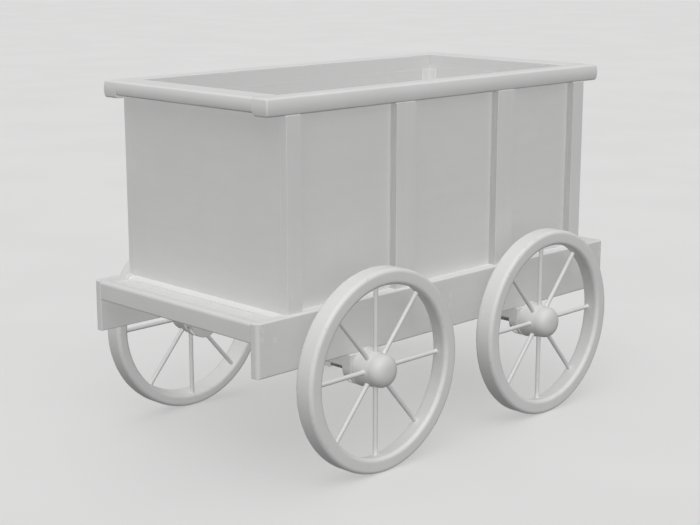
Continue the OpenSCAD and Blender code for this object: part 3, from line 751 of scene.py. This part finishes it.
RIM_SEGMENTS = 160
RIM_BACK_DEPTH = 0.033
RIM_FACE_DEPTH = 0.040
RIM_ROUND = 0.010
SPOKE_R = 0.006
SPOKE_LET_IN = 0.0085
SPOKE_LEAN = math.radians(4.0)
SPOKE_FOOT_R = 0.0400
SPOKE_TIP_IN = 0.0040
SPOKE_FLARE = 0.0010
SPOKE_FLARE_REACH = 0.016
SPOKE_FLARE_STEPS = 6
SPOKE_MIDDLE_STEPS = 14
HUB_BORE = 0.0222
HUB_MOUTH = 0.0281
HUB_MOUTH_DEPTH = 0.0110
HUB_BACK_ROUND = 0.0030
CAP_WALL = 0.0060
CAP_FLOOR = 0.004
CAP_BORE = 0.0256
SPIGOT_R = 0.0279
SPIGOT_LENGTH = 0.007
DOME_BLUNT = 0.74
HUB_RINGS = (0.2, 0.35, 0.5, 0.65, 0.8, 0.92, 0.998)


def rim_section(width, radius):
    """(station, radius, arris) round a rim's section, which starts at its inner face. The
    rim is deeper at its outer face, and its tread is flat."""
    r = RIM_ROUND
    corners = (
        Vector((r, radius - RIM_BACK_DEPTH + r)),
        Vector((width - r, radius - RIM_FACE_DEPTH + r)),
        Vector((width - r, radius - r)),
        Vector((r, radius - r)),
    )
    points = []
    for n, corner in enumerate(corners):
        before = corner - corners[n - 1]
        after = corners[(n + 1) % 4] - corner
        start = math.atan2(-before.x, before.y)
        turn = math.atan2(before.cross(after), before.dot(after))
        for i in range(ARC_STEPS + 1):
            angle = start + turn * i / ARC_STEPS
            arris = math.sin(math.pi * i / ARC_STEPS)
            points.append(
                (corner.x + r * math.cos(angle), corner.y + r * math.sin(angle), arris))
        end = points[-1]
        for i in range(1, FLAT_STEPS):
            share = i / FLAT_STEPS
            points.append((end[0] + after.x * share, end[1] + after.y * share, 0.0))
    return points


def wheel_iron(name, bm, wheel, node, tone):
    """A painted iron piece that turns with its wheel."""
    piece(name + wheel, bm, "wheel_" + wheel, IRON, (node,), tone)


def make_rim(wheel):
    node = "rim_" + wheel
    low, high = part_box(node)
    side = 1 if wheel.endswith("r") else -1
    centre = Vector(((low.x + high.x) / 2, low.y if side > 0 else high.y, (low.z + high.z) / 2))
    section = rim_section(high.y - low.y, (high.x - low.x) / 2)
    bm = bmesh.new()
    lathe(bm, [(s, r) for s, r, _ in section], centre, Vector((0, side, 0)), RIM_SEGMENTS,
          arris=[0.25 + 0.75 * a for _, _, a in section])
    weather(bm, swell=0.0004, nicks=0.0005, salt=centre.x + 2 * centre.y)
    wheel_iron("rim_iron_", bm, wheel, node, WHEEL_TONE)


def spoke_profile(foot, tip, radius):
    """A round bar whose two ends swell into the hub and the rim."""
    stations = []
    flare, reach, steps = SPOKE_FLARE, SPOKE_FLARE_REACH, SPOKE_FLARE_STEPS
    for i in range(steps + 1):
        t = i / steps
        stations.append((foot + reach * t, radius + flare * (1 - t) ** 2))
    count = SPOKE_MIDDLE_STEPS
    for i in range(1, count):
        stations.append((foot + reach + (tip - foot - 2 * reach) * i / count, radius))
    for i in range(steps + 1):
        t = i / steps
        stations.append((tip - reach * (1 - t), radius + flare * t ** 2))
    return stations


def make_spokes(wheel):
    node = "spokes_" + wheel
    low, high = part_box(node)
    centre = (low + high) / 2
    rim_inner = (high.z - low.z) / 2 - SPOKE_LET_IN
    count = len(solids(node))
    bm = bmesh.new()
    for n in range(count):
        angle = 2 * math.pi * n / count
        angle -= SPOKE_LEAN * math.sin(2 * angle)
        out = Vector((math.sin(angle), 0, math.cos(angle)))
        profile = spoke_profile(SPOKE_FOOT_R, rim_inner + SPOKE_TIP_IN, SPOKE_R)
        lathe(bm, profile, centre, out, 24, closed=False)
    weather(bm, swell=0.0005, nicks=0.0, salt=centre.x - centre.y)
    wheel_iron("spoke_bars_", bm, wheel, node, WHEEL_TONE)


def make_hub(wheel):
    """Barrel that tapers to its nose, and a domed cap that carries its line on to the tip."""
    side = 1 if wheel.endswith("r") else -1
    out = Vector((0, side, 0))
    low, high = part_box("hub_" + wheel)
    radius = (high.z - low.z) / 2
    cap_low, cap_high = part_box("hub_cap_" + wheel)
    nose = (cap_high.z - cap_low.z) / 2
    inner_y = low.y if side > 0 else high.y
    length = high.y - low.y
    centre = Vector(((low.x + high.x) / 2, inner_y, (low.z + high.z) / 2))
    shell = [(0.0, HUB_BORE + 0.001), (0.0, radius - HUB_BACK_ROUND)]
    shell += arc_points(HUB_BACK_ROUND, radius - HUB_BACK_ROUND, HUB_BACK_ROUND, -75, 0)
    shell += [(length * t, radius + (nose - radius) * t) for t in HUB_RINGS]
    shell += [(length, nose - 0.0002), (length, HUB_MOUTH)]
    shell += [(length - HUB_MOUTH_DEPTH, HUB_MOUTH), (length - HUB_MOUTH_DEPTH, HUB_BORE)]
    shell += [(0.001, HUB_BORE)]
    bm = bmesh.new()
    lathe(bm, shell, centre, out, 96)
    weather(bm, swell=0.0003, nicks=0.0, salt=3 * centre.x)
    wheel_iron("hub_barrel_", bm, wheel, "hub_" + wheel, HUB_TONE)

    tip_y = cap_high.y if side > 0 else cap_low.y
    dome = abs(tip_y - inner_y) - length
    outside = [dome_point(a, dome, nose) for a in steps_between(0.0, 89.5, 24)]
    inside = [
        dome_point(a, dome - CAP_WALL, nose - CAP_WALL) for a in steps_between(89.0, 12.0, 12)]
    spigot = [(CAP_FLOOR, CAP_BORE), (-SPIGOT_LENGTH, CAP_BORE)]
    spigot += [(-SPIGOT_LENGTH, SPIGOT_R), (0.0, SPIGOT_R)]
    centre = Vector((centre.x, inner_y + side * length, centre.z))
    bm = bmesh.new()
    lathe(bm, outside + inside + spigot, centre, out, 96)
    wheel_iron("hub_dome_", bm, wheel, "hub_cap_" + wheel, HUB_TONE)


def dome_point(degrees, height, radius):
    """(station, radius) on a dome a little blunter than an ellipse."""
    a = math.radians(degrees)
    return height * math.sin(a) ** DOME_BLUNT, radius * math.cos(a) ** DOME_BLUNT


def arc_points(station, radius, r, start, end, steps=6):
    return [(station + r * math.sin(math.radians(a)), radius + r * math.cos(math.radians(a)))
            for a in steps_between(start, end, steps)]


def steps_between(a, b, steps):
    return [a + (b - a) * i / steps for i in range(steps + 1)]


# ------------------------------------------------- CAD parts that stay shown


def dress(node, material, arris, tone=0.45):
    """A CAD part keeps its shape, and gets eased arrises and a material."""
    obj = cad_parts[node]
    obj.data.materials.clear()
    obj.data.materials.append(material)
    obj.data.polygons.foreach_set("use_smooth", [True] * len(obj.data.polygons))
    if "custom_normal" in obj.data.attributes:
        obj.data.attributes.remove(obj.data.attributes["custom_normal"])
    obj["tone"] = tone
    weld = obj.modifiers.new("weld", "WELD")
    weld.merge_threshold = 1e-6
    bevel = obj.modifiers.new("eased arrises", "BEVEL")
    bevel.width = arris
    bevel.segments = 3
    bevel.limit_method = "ANGLE"
    bevel.angle_limit = math.radians(38)
    bevel.use_clamp_overlap = True
    obj.modifiers.new("flat faces", "WEIGHTED_NORMAL")


def dress_cad_parts():
    dress("tub_floor", TIMBER["x"], 0.0010, 1.0)
    dress("deck_boards", TIMBER["x"], 0.0012)
    bearers = ("end_bearer_front", "end_bearer_rear", "middle_bearer")
    for node in bearers + ("bolster_front", "bolster_rear"):
        dress(node, TIMBER["y"], 0.0016, 0.3)
    dress("corner_irons", IRON, 0.0006, 1.0)
    for node in ("bolster_angles", "axle_clips"):
        dress(node, IRON, 0.0006)
    for node in ("tub_screws", "chassis_screws", "tub_bolts", "tub_bolt_nuts"):
        dress(node, IRON, 0.0005, 0.5)
    for wheel in WHEELS:
        dress("axle_box_" + wheel, IRON, 0.0030, 0.35)
        dress("bush_" + wheel, BUSH, 0.0004)
    dress("axle_washers", IRON, 0.0005, 0.3)
    for node in ("axle_front", "axle_rear", "axle_nuts", "axle_pins"):
        dress(node, BARE, 0.0005)


# ------------------------------------------------------- floor and lighting

FLOOR_SIZE = 90
AMBIENT_ABOVE = 0.47
AMBIENT_BELOW = 0.28
AMBIENT_SPREAD = 0.5
KEY_STRENGTH = 0.20
KEY_ELEVATION = math.radians(55)
FILL_STRENGTH = 2.50
FILL_ELEVATION = math.radians(50)
LIGHT_ANGLE = math.radians(50)


def make_studio():
    """Pale floor that throws no light back, light that is stronger from above than below,
    a weak light with shadows and a strong one without, both from the camera's side."""
    mesh = bpy.data.meshes.new("floor")
    half = FLOOR_SIZE / 2
    corners = [(-half, -half, 0), (half, -half, 0), (half, half, 0), (-half, half, 0)]
    mesh.from_pydata(corners, [], [(0, 1, 2, 3)])
    mesh.materials.append(studio_floor())
    floor = bpy.data.objects.new("floor", mesh)
    bpy.context.scene.collection.objects.link(floor)
    floor.visible_diffuse = False
    floor.visible_glossy = False
    world = bpy.data.worlds.new("studio")
    bpy.context.scene.world = world
    world.use_nodes = True
    tree = world.node_tree
    place = tree.nodes.new("ShaderNodeTexCoord")
    parts = tree.nodes.new("ShaderNodeSeparateXYZ")
    tree.links.new(place.outputs["Generated"], parts.inputs[0])
    shade = tree.nodes.new("ShaderNodeMapRange")
    shade.inputs["From Min"].default_value = -AMBIENT_SPREAD
    shade.inputs["From Max"].default_value = AMBIENT_SPREAD
    shade.inputs["To Min"].default_value = AMBIENT_BELOW
    shade.inputs["To Max"].default_value = AMBIENT_ABOVE
    tree.links.new(parts.outputs["Z"], shade.inputs["Value"])
    tree.links.new(shade.outputs["Result"], tree.nodes["Background"].inputs["Strength"])
    tree.nodes["Background"].inputs["Color"].default_value = (1.0, 1.0, 1.0, 1)
    distant_light("key", CAMERA_AZIMUTH, KEY_ELEVATION, KEY_STRENGTH, True)
    distant_light("fill", CAMERA_AZIMUTH, FILL_ELEVATION, FILL_STRENGTH, False)
    bpy.context.scene.view_settings.view_transform = "Standard"


def distant_light(name, azimuth, elevation, strength, shadows):
    data = bpy.data.lights.new(name, "SUN")
    data.energy = strength
    data.angle = LIGHT_ANGLE
    data.use_shadow = shadows
    light = bpy.data.objects.new(name, data)
    bpy.context.scene.collection.objects.link(light)
    level = math.cos(elevation)
    toward = Vector((math.sin(azimuth) * level, -math.cos(azimuth) * level, math.sin(elevation)))
    light.location = toward * 6.0
    light.rotation_mode = "QUATERNION"
    light.rotation_quaternion = (-toward).to_track_quat("-Z", "Y")


# ------------------------------------------------------------------- build

make_camera()
make_studio()
make_panels()
make_posts()
make_rails()
make_cleats()
make_chassis()
make_sunk_screws()
for wheel_name in WHEELS:
    make_rim(wheel_name)
    make_spokes(wheel_name)
    make_hub(wheel_name)
dress_cad_parts()
